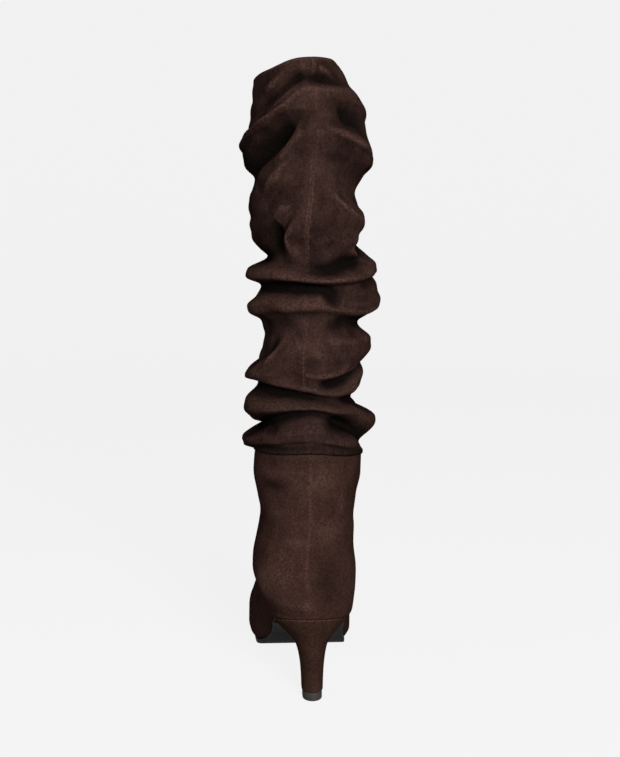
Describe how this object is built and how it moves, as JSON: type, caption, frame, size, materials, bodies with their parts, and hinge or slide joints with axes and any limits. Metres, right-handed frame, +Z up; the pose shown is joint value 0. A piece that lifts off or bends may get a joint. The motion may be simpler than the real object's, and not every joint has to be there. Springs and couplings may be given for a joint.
{
  "type": "slouch boot",
  "caption": "Right-foot suede slouch boot: folded soft shaft on a smooth ankle part, covered low tapered heel, thin rubber sole and a softly pointed toe.",
  "frame": {"origin": "middle of the heel tip's tread, on the floor", "axes": "+Z up, +Y along the boot to the toe, +X to the little toe's side; the big toe's side is -X"},
  "size_m": [0.0967, 0.2548, 0.4396],
  "materials": {
    "suede_shaft": "dark brown suede, long soft nap",
    "suede_foot": "dark brown suede, short brushed nap",
    "suede_heel": "dark brown suede over the heel block",
    "lining_leather": "smooth insole leather",
    "sole_rubber": "matt",
    "tip_rubber": "matt, worn"
  },
  "bodies": {
    "root": {"upper": "suede_foot", "shaft": "suede_shaft", "insole_backpart": "lining_leather", "insole_forepart": "lining_leather", "outsole": "sole_rubber", "heel": "suede_heel", "heel_tip": "tip_rubber"}
  },
  "joints": []
}
